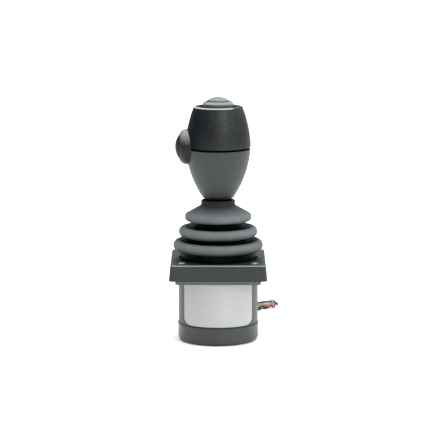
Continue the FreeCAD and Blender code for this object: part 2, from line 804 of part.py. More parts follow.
carrier_screw = turned("carrier_screw", [
    ("0", "-carrier_screw_length"),
    ("carrier_screw_radius", "-carrier_screw_length"),
    ("carrier_screw_radius", "0"),
    ("carrier_screw_head", "0"),
    ("carrier_screw_head", carrier_head_edge),
    (f"carrier_screw_head - {carrier_head_edge}", "carrier_screw_head_height", carrier_head_edge),
    ("0", "carrier_screw_head_height"),
])
socket(carrier_screw, "carrier_screw_radius", "carrier_screw_head_height", False)
part(copies("carrier_screws", carrier_screw,
            [(*place, "flange_z + carrier_plate", None) for place in carrier_screw_places]))

# Trunnion pins: the fixed pair lies along X in the carrier, the stick's own pair along Y in its hub.
fixed_pin_start = "(ring_inner + 4 * fit_gap)"
fixed_pin = cylinder("fixed_pin", "trunnion_radius", f"carrier_outer - {fixed_pin_start}", ("0", "0", "0"))
part(copies("carrier_pins", fixed_pin, [
    (fixed_pin_start, "0", "pivot_height", to_right),
    (f"-{fixed_pin_start}", "0", "pivot_height", to_left),
]))
stick_pin_start = "(shaft_radius + fit_gap)"
stick_pin = cylinder("stick_pin", "trunnion_radius", f"ring_outer - {stick_pin_start}", ("0", "0", "0"))
part(copies("stick_pins", stick_pin, [
    ("0", stick_pin_start, "pivot_height", to_back),
    ("0", f"-{stick_pin_start}", "pivot_height", to_front),
]))

# Gimbal ring with four flanged bushes.
ring_blank = turned("ring_blank", [
    ("ring_inner", "pivot_height - ring_height / 2"),
    ("ring_outer", "pivot_height - ring_height / 2"),
    ("ring_outer", "pivot_height + ring_height / 2"),
    ("ring_inner", "pivot_height + ring_height / 2"),
])
bush_bore = "(bush_outer + press_gap)"
part(combine(
    "Cut", "gimbal_ring", ring_blank,
    cylinder("bore_x", bush_bore, "2 * ring_outer", ("-ring_outer", "0", "pivot_height"), to_right),
    cylinder("bore_y", bush_bore, "2 * ring_outer", ("0", "-ring_outer", "pivot_height"), to_back),
))
bush = turned("bush", [
    ("trunnion_radius + running_gap", "0"),
    ("bush_outer", "0"),
    ("bush_outer", "ring_outer - ring_inner"),
    ("bush_flange", "ring_outer - ring_inner"),
    ("bush_flange", "ring_outer - ring_inner + bush_lip"),
    ("trunnion_radius + running_gap", "ring_outer - ring_inner + bush_lip"),
])
part(copies("gimbal_bushes", bush, [
    ("ring_inner", "0", "pivot_height", to_right),
    ("-ring_inner", "0", "pivot_height", to_left),
    ("0", "ring_inner", "pivot_height", to_back),
    ("0", "-ring_inner", "pivot_height", to_front),
]))

# Stick: the shaft, its hub in the gimbal with a cross pin, and the magnet at its foot.
cross_drill = cylinder("cross_drill", "cross_pin_radius + press_gap", "4 * hub_radius",
                       ("-2 * hub_radius", "0", "pivot_height"), to_right)
hub_blank = turned("hub_blank", [
    ("shaft_radius + fit_gap", "pivot_height - hub_height / 2"),
    ("hub_radius", "pivot_height - hub_height / 2"),
    ("hub_radius", "pivot_height + hub_height / 2"),
    ("shaft_radius + fit_gap", "pivot_height + hub_height / 2"),
])
hub_drill = cylinder("hub_drill", "trunnion_radius + press_gap", "4 * hub_radius",
                     ("0", "-2 * hub_radius", "pivot_height"), to_back)
part(combine("Cut", "pivot_hub", hub_blank, cross_drill, hub_drill))
part(cylinder("cross_pin", "cross_pin_radius", "2 * hub_radius - 8 * fit_gap",
              ("-hub_radius + 4 * fit_gap", "0", "pivot_height"), to_right))
shaft_blank = turned("shaft_blank", [
    ("0", "shaft_bottom"),
    ("shaft_radius", "shaft_bottom"),
    ("shaft_radius", "neck_bottom - retainer_height"),
    ("shaft_radius - retainer_groove", "neck_bottom - retainer_height"),
    ("shaft_radius - retainer_groove", "neck_bottom"),
    ("shaft_radius", "neck_bottom"),
    ("shaft_radius", "shaft_shoulder"),
    ("shaft_thread", "shaft_shoulder"),
    ("shaft_thread", "shaft_top"),
    ("0", "shaft_top"),
])
part(combine("Cut", "shaft", shaft_blank, cross_drill))
part(turned("magnet_holder", [
    ("0", "magnet_bottom + magnet_height"),
    ("magnet_radius + fit_gap", "magnet_bottom + magnet_height"),
    ("magnet_radius + fit_gap", "magnet_bottom"),
    ("holder_radius", "magnet_bottom"),
    ("holder_radius", "magnet_bottom + holder_height"),
    ("shaft_radius + fit_gap", "magnet_bottom + holder_height"),
    ("shaft_radius + fit_gap", "shaft_bottom"),
    ("0", "shaft_bottom"),
]))
part(cylinder("magnet", "magnet_radius", "magnet_height", ("0", "0", "magnet_bottom")))

# Centring spring between its seat on the carrier and the bush at the stick's neck, which a ring retains.
part(turned("spring_seat", [
    ("seat_inner", "carrier_top_z"),
    ("seat_outer", "carrier_top_z"),
    ("seat_outer", "seat_top"),
    ("seat_inner", "seat_top"),
]))
own_shape("return_spring", spring(
    "spring_base", "spring_crown", "seat_top + spring_wire", "neck_bottom - spring_wire", 5, "spring_wire"
))
retainer_blank = turned("retainer_blank", [
    ("shaft_radius - retainer_groove + fit_gap", "neck_bottom - retainer_height"),
    ("retainer_ring", "neck_bottom - retainer_height"),
    ("retainer_ring", "neck_bottom"),
    ("shaft_radius - retainer_groove + fit_gap", "neck_bottom"),
])
retainer_slot = block("retainer_slot", "retainer_ring + fit_gap", "2 * (shaft_radius - retainer_groove)",
                      "retainer_height",
                      ("0", "retainer_groove - shaft_radius", "neck_bottom - retainer_height"))
part(combine("Cut", "retaining_ring", retainer_blank, retainer_slot))
part(turned("neck_bush", [
    ("shaft_radius + fit_gap", "neck_bottom"),
    ("neck_flange", "neck_bottom"),
    ("neck_flange", "neck_bottom + neck_flange_height"),
    ("neck_radius", "neck_bottom + neck_flange_height"),
    ("neck_radius", "cone_bottom - fit_gap"),
    ("shaft_radius + fit_gap", "cone_bottom - fit_gap"),
]))

# Sensor board on three spacers, with the sensor under the magnet and the plug of the leads.
board = doc.addObject("PartDesign::Body", "sensor_board")
board_sketch = new_sketch(board, "XY_Plane", "board_bottom")
draw_circle(board_sketch, "0", "0", "board_radius")
feature(board, "Pad", board_sketch, Length="board_thickness")
holes(board, posts, "post_radius + board_notch", "board_top", "board_thickness")
spacer_places = [on_circle("spacer_circle", angle) for angle in post_angles]
holes(board, spacer_places, "board_screw_radius + fit_gap", "board_top", "board_thickness")
part(board)
spacer = turned("spacer", [
    ("0", "base_floor"),
    ("spacer_radius", "base_floor"),
    ("spacer_radius", "board_bottom"),
    ("board_screw_radius + fit_gap", "board_bottom"),
    ("board_screw_radius + fit_gap", "board_bottom - board_screw_length"),
    ("0", "board_bottom - board_screw_length"),
])
part(copies("board_spacers", spacer, [(*place, "0", None) for place in spacer_places]))
board_screw = turned("board_screw", [
    ("0", "-board_screw_length"),
    ("board_screw_radius", "-board_screw_length"),
    ("board_screw_radius", "0"),
    ("board_screw_head", "0"),
    ("board_screw_head", "board_screw_head / 2"),
    ("board_screw_head / 2", "board_screw_head / 1.5"),
    ("0", "board_screw_head / 1.5"),
])
socket(board_screw, "board_screw_radius", "board_screw_head / 1.5", False)
part(copies("board_screws", board_screw, [(*place, "board_top", None) for place in spacer_places]))
part(block("hall_sensor", "sensor_width", "sensor_width", "sensor_height",
           ("-sensor_width / 2", "-sensor_width / 2", "board_top")))
outlet_spin = (FreeCAD.Vector(0, 0, 1), number("outlet_angle"))
header_x = "(header_radius * cos(outlet_angle * 1deg) + header_width / 2 * sin(outlet_angle * 1deg))"
header_y = "(header_radius * sin(outlet_angle * 1deg) - header_width / 2 * cos(outlet_angle * 1deg))"
part(block("board_header", "header_depth", "header_width", "header_height",
           (header_x, header_y, "board_bottom - header_height"), outlet_spin))
part(block("loom_plug", "header_depth", "header_width", "plug_height",
           (header_x, header_y, "board_bottom - header_height - plug_height"), outlet_spin))

# Bellows: one moulding, drawn as two pieces that meet in the lower valley, since each of them bends
# with another piece of the gimbal.
def bellows(corners):
    """The wall turned from an outline of (radius, height, rounding) corners, thickened inwards."""
    places = [(FreeCAD.Vector(number(r), number(z), 0), bend and number(bend)) for r, z, bend in corners]
    wall = rounded_path(places)[0].makeOffset2D(-number("boot_wall"), fill=True, openResult=True)
    wall.rotate(FreeCAD.Vector(), FreeCAD.Vector(1, 0, 0), 90)
    return wall.revolve(FreeCAD.Vector(), FreeCAD.Vector(0, 0, 1), 360)


own_shape("boot_lower", bellows([
    ("hem_radius", "hem_top", None),
    ("boot_root", "hem_top", "valley_rounding"),
    ("boot_root", "root_height", "valley_rounding"),
    ("low_ring_radius", "root_height", "low_rounding"),
    ("low_ring_radius", "low_ring_top", "low_rounding"),
    ("low_valley_radius", "low_valley_foot", "valley_rounding"),
    ("low_valley_radius", "boot_split", None),
]))
collar_seat = "(neck_radius + soft_gap)"
boot_upper = bellows([
    ("low_valley_radius", "boot_split + fit_gap", None),
    ("low_valley_radius", "mid_ring_foot", "valley_rounding"),
    ("mid_ring_radius", "mid_ring_foot", "mid_rounding"),
    ("mid_ring_radius", "mid_ring_top", "mid_rounding"),
    ("high_valley_radius", "high_valley_foot", "valley_rounding"),
    ("high_valley_radius", "high_valley_top", "valley_rounding"),
    ("top_ring_radius", "top_ring_foot", "top_rounding"),
    ("top_ring_radius", "top_ring_top", "top_rounding"),
    ("collar_radius - boot_wall", "collar_bottom + boot_wall / 2", None),
])
collar_height = number("collar_top - collar_bottom + boot_wall")
collar_foot = FreeCAD.Vector(0, 0, number("collar_bottom - boot_wall"))
collar = Part.makeCylinder(number("collar_radius"), collar_height, collar_foot)
collar = collar.cut(Part.makeCylinder(number(collar_seat), collar_height, collar_foot))
own_shape("boot_upper", boot_upper.fuse(collar).removeSplitter())

# Handle shells: a cone and a cap that meet at a gasket, with a flat seat for the side button.
cone_envelope = turned("cone_envelope", [
    ("0", "cone_bottom"),
    ("cone_foot", "cone_bottom"),
    ("cone_radius", "cone_top", "cone_bulge"),
    ("0", "cone_top"),
])
cone_floor = "(shaft_shoulder - fit_gap)"
lip_seat = "(cone_top - lip_height - fit_gap)"
cone_hollow = turned("cone_hollow", [
    ("hub_outer", f"{cone_floor} + hub_wall"),
    ("cone_radius - shell_wall - lip_wall / 2", lip_seat, "cone_bulge - shell_wall"),
    ("cone_radius - shell_wall", lip_seat),
    ("cone_radius - shell_wall", "cone_top + fit_gap"),
    ("0", "cone_top + fit_gap"),
    ("0", "shaft_shoulder + insert_height"),
    ("hub_outer", "shaft_shoulder + insert_height"),
])
cap_envelope = turned("cap_envelope", [
    ("0", "cap_bottom"),
    ("cap_radius", "cap_bottom"),
    ("cap_radius", "cap_waist"),
    ("cap_shoulder", "cap_top - rim_rounding", "cap_bulge"),
    ("cap_shoulder - rim_rounding", "cap_top", "rim_rounding"),
    ("moat_radius", "cap_top"),
    ("moat_radius", "moat_z"),
    ("0", "moat_z"),
])
cap_hollow = turned("cap_hollow", [
    ("0", "cap_bottom - fit_gap"),
    ("cap_radius - shell_wall", "cap_bottom - fit_gap"),
    ("cap_radius - shell_wall", "cap_waist"),
    ("cap_shoulder - shell_wall", "moat_z - shell_wall", "cap_bulge - shell_wall"),
    ("0", "moat_z - shell_wall"),
])
side_drill = cylinder("side_drill", "side_bezel_radius + bezel_gap", "cap_radius",
                      ("-side_seat", "0", "side_height"), to_left)
neck_drill = cylinder("neck_drill", "neck_thread + bezel_gap", "cap_radius",
                      ("0", "0", "side_height"), to_left)
top_drill = cylinder("top_drill", "neck_thread + bezel_gap", "3 * shell_wall",
                     ("0", "0", "moat_z - 2 * shell_wall"))


def with_seat(name, envelope, hollow, extra, drills):
    """A shell with the side button's flat seat, which reaches to the shell's outside, and its drillings."""
    shell = combine("Cut", name + "_shell", envelope, hollow)
    plate = cylinder(name + "_plate", "side_bezel_radius + 2 * shell_wall", "side_seat_wall",
                     ("side_seat_wall - side_seat", "0", "side_height"), to_left)
    seat = combine("Common", name + "_seat", plate, envelope)
    blank = combine("MultiFuse", name + "_blank", shell, seat, *extra)
    return part(combine("Cut", name, blank, *drills))


ribs = []
for i, angle in enumerate((45, 135, 225, 315)):
    rib = block("cone_rib_%d" % (i + 1), "cone_radius - shell_wall - hub_outer", "rib_thickness",
                "insert_height", ("0", "0", "0"))
    way = FreeCAD.Rotation(FreeCAD.Vector(0, 0, 1), angle)
    corner = way.multVec(FreeCAD.Vector(number("hub_outer - fit_gap"), number("-rib_thickness / 2"), 0))
    rib.Placement = FreeCAD.Placement(FreeCAD.Vector(corner.x, corner.y, number("shaft_shoulder")), way)
    ribs.append(combine("Common", "cone_web_%d" % (i + 1), rib, cone_envelope))
hub_bore = cylinder("hub_bore", "shaft_radius + fit_gap", "shaft_shoulder", ("0", "0", "0"))
insert_bore = cylinder("insert_bore", "insert_radius + press_gap", "insert_height + fit_gap",
                       ("0", "0", "shaft_shoulder"))
with_seat("handle_cone", cone_envelope, cone_hollow, ribs, [hub_bore, insert_bore, side_drill, neck_drill])
lip_ring = turned("lip_ring", [
    ("cone_radius - shell_wall - fit_gap - lip_wall", "cone_top - lip_height"),
    ("cone_radius - shell_wall - fit_gap", "cone_top - lip_height"),
    ("cone_radius - shell_wall - fit_gap", "cap_bottom"),
    ("cap_radius - shell_wall", "cap_bottom"),
    ("cap_radius - shell_wall", "cap_bottom + lip_wall"),
    ("cone_radius - shell_wall - fit_gap - lip_wall", "cap_bottom + lip_wall"),
])
nut_room = "(side_seat - side_seat_wall - button_nut_height - soft_gap)"
lip_notch = block("lip_notch", "cap_radius", "2 * cap_radius",
                  "cap_bottom - cone_top + 2 * lip_height + lip_wall + fit_gap",
                  (f"-cap_radius - {nut_room}", "-cap_radius", "cone_top - 2 * lip_height"))
cap_lip = combine("Cut", "cap_lip", lip_ring, lip_notch)
with_seat("handle_cap", cap_envelope, cap_hollow, [cap_lip], [side_drill, neck_drill, top_drill])
seam_blank = turned("seam_blank", [
    ("cone_radius - shell_wall + fit_gap", "cone_top"),
    ("cone_radius - seam_inset", "cone_top"),
    ("cone_radius - seam_inset", "cap_bottom"),
    ("cone_radius - shell_wall + fit_gap", "cap_bottom"),
])
part(combine("Cut", "seam_gasket", seam_blank, side_drill))

# Threaded insert in the cone's hub, and the nut that locks the handle to the shaft.
part(turned("handle_insert", [
    ("shaft_thread + press_gap", "shaft_shoulder"),
    ("insert_radius", "shaft_shoulder"),
    ("insert_radius", "shaft_shoulder + insert_height"),
    ("shaft_thread + press_gap", "shaft_shoulder + insert_height"),
]))
nut_foot = "(shaft_shoulder + insert_height + fit_gap)"
nut = prism("handle_nut", hexagon("nut_flats"), "nut_height", nut_foot)
holes(nut, [("0", "0")], "shaft_thread + press_gap", f"{nut_foot} + nut_height", "nut_height")
part(nut)


def push_button(side, at, turn):
    """One push button: bezel with a threaded neck, domed cap on a plunger, spring, nut and switch.
    It is drawn with its seat at z = 0 and its dome upwards, then turned to its place."""
    lip = f"{side}_lip_radius"
    crest = f"({side}_shoulder + {side}_bezel_cone)"
    well = f"({side}_button_radius + button_gap)"
    bezel = turned(side + "_button_bezel", [
        ("plunger_radius + plunger_gap", "-neck_length"),
        ("neck_thread", "-neck_length"),
        ("neck_thread", "0"),
        (f"{side}_bezel_radius", "0"),
        (f"{side}_bezel_radius", f"{side}_shoulder"),
        (lip, crest, f"{side}_bezel_radius / 2"),
        (well, crest),
        (well, "cup_floor"),
        ("button_spring_radius + button_spring_wire + plunger_gap", "cup_floor"),
        ("button_spring_radius + button_spring_wire + plunger_gap", "-spring_pocket"),
        ("plunger_radius + plunger_gap", "-spring_pocket"),
    ])
    foot = "(cup_floor + button_travel + 4 * fit_gap)"
    inner = f"({crest} - cap_crown)"
    dome = f"{side}_button_height"
    dome_radius = f"(({side}_button_radius * {side}_button_radius + {dome} * {dome}) / (2 * {dome}))"
    cap = turned(side + "_button_cap", [
        ("0", "-plunger_depth"),
        ("plunger_radius", "-plunger_depth"),
        ("plunger_radius", inner),
        (f"{side}_button_radius - button_wall", inner),
        (f"{side}_button_radius - button_wall", foot),
        (f"{side}_button_radius", foot),
        (f"{side}_button_radius", crest),
        ("0", f"{crest} + {dome}", dome_radius),
    ])
    coil = doc.addObject("Part::Feature", side + "_button_spring")
    coil.Shape = spring("button_spring_radius", "button_spring_radius", "button_spring_wire - spring_pocket",
                        f"{inner} - button_spring_wire", 4, "button_spring_wire")
    nut_seat = "side_seat_wall" if side == "side" else "shell_wall"
    nut = prism(side + "_button_nut", hexagon("button_nut_flats"), "button_nut_height",
                f"-{nut_seat} - fit_gap - button_nut_height")
    holes(nut, [("0", "0")], "neck_thread + press_gap", f"-{nut_seat} - fit_gap", "button_nut_height")
    switch = doc.addObject("Part::Box", side + "_switch")
    tie(switch, "Length", "switch_width")
    tie(switch, "Width", "switch_width")
    tie(switch, "Height", "switch_height")
    corner = ("-switch_width / 2", "-switch_width / 2", "-neck_length - switch_height")
    for piece in (bezel, cap, coil, nut):
        part(move(piece, at, turn))
    rotation = bezel.Placement.Rotation
    shift = rotation.multVec(FreeCAD.Vector(*(number(value) for value in corner)))
    switch.Placement = FreeCAD.Placement(bezel.Placement.Base + shift, rotation)
    part(switch)


push_button("top", ("0", "0", "moat_z"), None)
push_button("side", ("-side_seat", "0", "side_height"), to_left)

# Leads: a loom that leaves the grommet, turns behind the base and lies there in a coil held by a tie.
loom_exit = outlet_way * number("housing_radius + fit_gap + grommet_lip")
loom_points = [
    FreeCAD.Vector(loom_exit.x, loom_exit.y, number("outlet_height")),
    FreeCAD.Vector(32.1, 18.6, number("outlet_height")),
    FreeCAD.Vector(38.8, 26.0, 18.6),
    FreeCAD.Vector(38.8, 36.5, 15.5),
    FreeCAD.Vector(30.0, 43.8, 12.6),
    FreeCAD.Vector(19.5, 45.0, 7.0),
    FreeCAD.Vector(8.0, 44.6, number("tie_thickness + loom_radius + fit_gap")),
]
loom_path, loom_bends = rounded_path([(point, None) for point in loom_points])
print("loom bend radii", [round(radius, 1) for radius in loom_bends])
loom_radius = number("loom_radius")
loom_start = Part.Wire(Part.makeCircle(loom_radius, loom_points[0], loom_points[1] - loom_points[0]))
loom = loom_path.makePipeShell([loom_start], True, False, 1)
print("loom volume", round(loom.Volume), "of", round(math.pi * loom_radius**2 * loom_path.Length))
own_shape("lead_loom", loom)
coil_foot = "(tie_thickness + fit_gap)"
coil_half = "(coil_turns * loom_radius)"
part(move(turned("lead_coil", [
    (f"coil_radius - {coil_half} + loom_radius", coil_foot, "loom_radius + fit_gap"),
    (f"coil_radius + {coil_half} - loom_radius", coil_foot),
    (f"coil_radius + {coil_half} - loom_radius", f"{coil_foot} + 2 * loom_radius", "loom_radius + fit_gap"),
    (f"coil_radius - {coil_half} + loom_radius", f"{coil_foot} + 2 * loom_radius"),
]), ("0", "coil_behind", "0")))
tie_opening = f"({coil_half} + 2 * fit_gap)"
tie_near = f"coil_behind + coil_radius - {tie_opening}"
tie_outer = block("tie_outer", "tie_width", f"2 * ({tie_opening} + tie_thickness)",
                  f"2 * loom_radius + 2 * {coil_foot}",
                  ("-tie_width / 2", f"{tie_near} - tie_thickness", "0"))
tie_inner = block("tie_inner", "2 * tie_width", f"2 * {tie_opening}", "2 * loom_radius + 2 * fit_gap",
                  ("-tie_width", tie_near, "tie_thickness"))
part(combine("Cut", "lead_tie", tie_outer, tie_inner))

doc.recompute()
faults = [thing.Name for thing in doc.Objects if {"Invalid", "Error"} & set(thing.State)]
for name, thing in parts.items():
    if thing.Shape.isNull() or not thing.Shape.isValid() or not thing.Shape.Solids:
        faults.append(name + " shape")
if faults:
    raise RuntimeError("these failed: " + ", ".join(faults))
os.makedirs("parts", exist_ok=True)
for name, thing in parts.items():
    thing.Shape.exportStep("parts/%s.step" % name)
print(len(parts), "sub-parts,", sum(len(thing.Shape.Solids) for thing in parts.values()), "solids")
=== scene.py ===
import bpy
import numpy as np
from math import pi, radians, tan, sin
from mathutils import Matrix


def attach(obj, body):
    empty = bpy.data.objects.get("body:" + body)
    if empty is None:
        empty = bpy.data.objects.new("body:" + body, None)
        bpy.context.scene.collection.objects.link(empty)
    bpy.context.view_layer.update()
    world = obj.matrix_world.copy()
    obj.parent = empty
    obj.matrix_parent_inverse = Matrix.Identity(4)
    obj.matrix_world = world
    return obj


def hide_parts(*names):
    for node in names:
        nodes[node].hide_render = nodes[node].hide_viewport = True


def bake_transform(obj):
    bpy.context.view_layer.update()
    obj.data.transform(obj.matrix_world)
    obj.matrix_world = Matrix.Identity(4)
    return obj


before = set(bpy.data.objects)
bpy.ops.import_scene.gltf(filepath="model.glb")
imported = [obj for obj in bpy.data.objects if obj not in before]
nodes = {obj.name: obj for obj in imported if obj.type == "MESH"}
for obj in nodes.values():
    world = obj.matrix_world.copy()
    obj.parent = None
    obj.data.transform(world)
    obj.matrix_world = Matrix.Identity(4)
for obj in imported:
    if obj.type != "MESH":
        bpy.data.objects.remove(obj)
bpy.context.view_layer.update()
print("frame loaded,", len(nodes), "nodes")


# shapes

def makePiece(name, points, faces, smooth=True):
    # points (n, 3) in metres and faces (m, 4) are whole arrays
    mesh = bpy.data.meshes.new(name)
    mesh.from_pydata(points, [], faces)
    mesh.polygons.foreach_set("use_smooth", np.full(len(faces), smooth))
    mesh.update()
    piece = bpy.data.objects.new(name, mesh)
    bpy.context.scene.collection.objects.link(piece)
    return piece


def gridFaces(rows, columns, closed=True):
    # quads of a grid: each point joins the next row's and the next column's, modulo the counts, and the last
    # row joins the first only where the grid is closed
    r, c = np.meshgrid(np.arange(rows if closed else rows - 1), np.arange(columns), indexing="ij")
    here, above = r * columns, (r + 1) % rows * columns
    beside = (c + 1) % columns
    return np.stack([here + c, above + c, above + beside, here + beside], -1).reshape(-1, 4)


def outward(points, faces):
    # the solid's volume is a sixth of the sum of a . (b x c) over its triangles, negative where they point in
    a, b, c, d = (points[faces[:, i]] for i in range(4))
    volume = (a * np.cross(b, c)).sum() + (a * np.cross(c, d)).sum()
    return faces if volume > 0 else faces[:, ::-1]


def unit(vectors):
    return vectors / np.linalg.norm(vectors, axis=1)[:, None]


def travelled(line):
    # the length of a line up to each of its points
    return np.concatenate([[0], np.cumsum(np.linalg.norm(np.diff(line, axis=0), axis=1))])


def squareTo(line, upright):
    # two directions at each point of a line, square to its run: the first is square to upright too
    run = unit(np.gradient(line, axis=0))
    across = unit(np.cross(run, upright))
    return across, np.cross(across, run)


def roundedLine(corners, steps=9):
    # a line through (radius, height, rounding) corners: each inner one is an arc of that rounding, which
    # touches both its sides and has its centre on the line that halves the corner, rounding / sin(half) away
    corners = [(np.array(c[:2]), c[2]) for c in corners]
    line = [corners[0][0][None]]
    for (before, _), (corner, rounding), (after, _) in zip(corners, corners[1:], corners[2:]):
        back = (before - corner) / np.linalg.norm(before - corner)
        onward = (after - corner) / np.linalg.norm(after - corner)
        half = np.arccos(back @ onward) / 2
        middle = (back + onward) / np.linalg.norm(back + onward)
        centre = corner + middle * rounding / sin(half)
        start = corner + back * rounding / tan(half) - centre
        end = corner + onward * rounding / tan(half) - centre
        t = np.linspace(0, 1, steps)[:, None]
        sweep = np.arccos(np.clip(start @ end / rounding ** 2, -1, 1))
        line.append(centre + (np.sin((1 - t) * sweep) * start + np.sin(t * sweep) * end) / np.sin(sweep))
    line.append(corners[-1][0][None])
    return np.concatenate(line)


def refined(line, longest, closest):
    # the same line with a point at each whole step of longest too, and none nearer than closest to the last
    t = travelled(line)
    every = np.unique(np.concatenate([t, np.arange(0, t[-1], longest)]))
    every = every[np.concatenate([[True], np.diff(every) > closest])]
    return np.stack([np.interp(every, t, line[:, i]) for i in range(2)], -1)


def walledTurn(line, wall, around):
    # a wall about Z: its outside is the (radius, height) line, its inside the line moved by wall along its
    # normals; a point is (radius cos angle, radius sin angle, height)
    run = unit(np.gradient(line, axis=0))
    inside = line + np.stack([-run[:, 1], run[:, 0]], -1) * wall
    loop = np.concatenate([line, inside[::-1]])
    angle = np.arange(around) / around * 2 * pi
    height = np.repeat(loop[:, 1:], around, 1)
    points = np.stack([loop[:, :1] * np.cos(angle), loop[:, :1] * np.sin(angle), height], -1).reshape(-1, 3)
    return points, outward(points, gridFaces(len(loop), around))


def tubeAlong(line, radius, around, upright=(0, 0, 1)):
    # a round tube with closed ends: a point is the line's plus radius x (cos angle across + sin angle over)
    across, over = squareTo(line, upright)
    angle = np.arange(around) / around * 2 * pi
    turned = np.cos(angle)[:, None] * across[:, None] + np.sin(angle)[:, None] * over[:, None]
    points = (line[:, None] + radius * turned).reshape(-1, 3)
    fan = np.arange(1, around - 1, 2)
    lid = np.stack([0 * fan, fan, fan + 1, (fan + 2) % around], -1)
    lastRing = (len(line) - 1) * around
    faces = np.concatenate([gridFaces(len(line), around, closed=False), lid, lastRing + lid[:, ::-1]])
    return points, outward(points, faces)


# tools for materials

class Shade:
    # one socket of a material's nodes; maths on it adds Math nodes
    def __init__(self, tree, socket=None):
        self.tree, self.socket = tree, socket

    def add(self, kind, settings={}, values={}, out=0):
        made = self.tree.nodes.new(kind)
        for key, value in settings.items():
            setattr(made, key, value)
        for key, value in values.items():
            if isinstance(value, Shade):
                self.tree.links.new(value.socket, made.inputs[key])
            else:
                made.inputs[key].default_value = value
        return Shade(self.tree, made.outputs[out])

    def maths(self, operation, a, b):
        return self.add("ShaderNodeMath", {"operation": operation}, {0: a, 1: b})

    def __add__(self, other):
        return self.maths("ADD", self, other)

    def __radd__(self, other):
        return self.maths("ADD", other, self)

    def __sub__(self, other):
        return self.maths("SUBTRACT", self, other)

    def __rsub__(self, other):
        return self.maths("SUBTRACT", other, self)

    def __mul__(self, other):
        return self.maths("MULTIPLY", self, other)

    def __rmul__(self, other):
        return self.maths("MULTIPLY", other, self)


def newMaterial(name):
    material = bpy.data.materials.new(name)
    material.use_nodes = True
    material.node_tree.nodes.clear()
    return material, Shade(material.node_tree)


def place(sh, stretch=(1, 1, 1)):
    where = sh.add("ShaderNodeTexCoord", out="Object")
    return sh.add("ShaderNodeMapping", {}, {"Vector": where, "Scale": stretch})


def along(sh, axis, vector):
    return sh.add("ShaderNodeSeparateXYZ", {}, {"Vector": vector}, out=axis)


def fromAxis(sh, where):
    # how far a place is from Z
    flat = sh.add("ShaderNodeVectorMath", {"operation": "MULTIPLY"}, {0: where, 1: (1, 1, 0)})
    return sh.add("ShaderNodeVectorMath", {"operation": "LENGTH"}, {0: flat}, out="Value")


def facingUp(sh):
    # 1 on what faces up, -1 on what faces down
    return along(sh, "Z", sh.add("ShaderNodeTexCoord", out="Normal"))


def noise(sh, where, grain, detail=3.0, roughness=0.55):
    # grain is the size of its spots in metres
    values = {"Vector": where, "Scale": 1 / grain, "Detail": detail, "Roughness": roughness}
    return sh.add("ShaderNodeTexNoise", {}, values)


def spread(sh, value, low, high, start=0.0, end=1.0):
    # start up to low, end from high on, and an even slope between
    values = {"Value": value, "From Min": low, "From Max": high, "To Min": start, "To Max": end}
    return sh.add("ShaderNodeMapRange", {}, values)


def band(sh, value, low, high, soft):
    # 1 between low and high, falling to 0 over soft on both sides
    return spread(sh, value, low - soft, low) * spread(sh, value, high, high + soft, 1.0, 0.0)


def mixed(sh, factor, a, b):
    # a where the factor is 0, b where it is 1
    first, second = (tone if isinstance(tone, Shade) else (*tone, 1) for tone in (a, b))
    return sh.add("ShaderNodeMix", {"data_type": "RGBA"}, {0: factor, 6: first, 7: second}, out=2)


def surface(sh, colour, roughness, height=None, depth=0.0, strength=1.0, **others):
    # the shader at the end; others holds more of its sockets by short names
    names = {"metal": "Metallic", "coat": "Coat Weight", "coatRough": "Coat Roughness", "ior": "IOR"}
    values = {"Base Color": colour if isinstance(colour, Shade) else (*colour, 1), "Roughness": roughness}
    values.update({names[key]: value for key, value in others.items()})
    if height is not None:
        bump = {"Height": height, "Distance": depth, "Strength": strength}
        values["Normal"] = sh.add("ShaderNodeBump", {}, bump)
    shader = sh.add("ShaderNodeBsdfPrincipled", {}, values)
    end = sh.tree.nodes.new("ShaderNodeOutputMaterial")
    sh.tree.links.new(shader.socket, end.inputs["Surface"])


# moulded plastics; sizes are in metres, and a row of four numbers is what spread takes

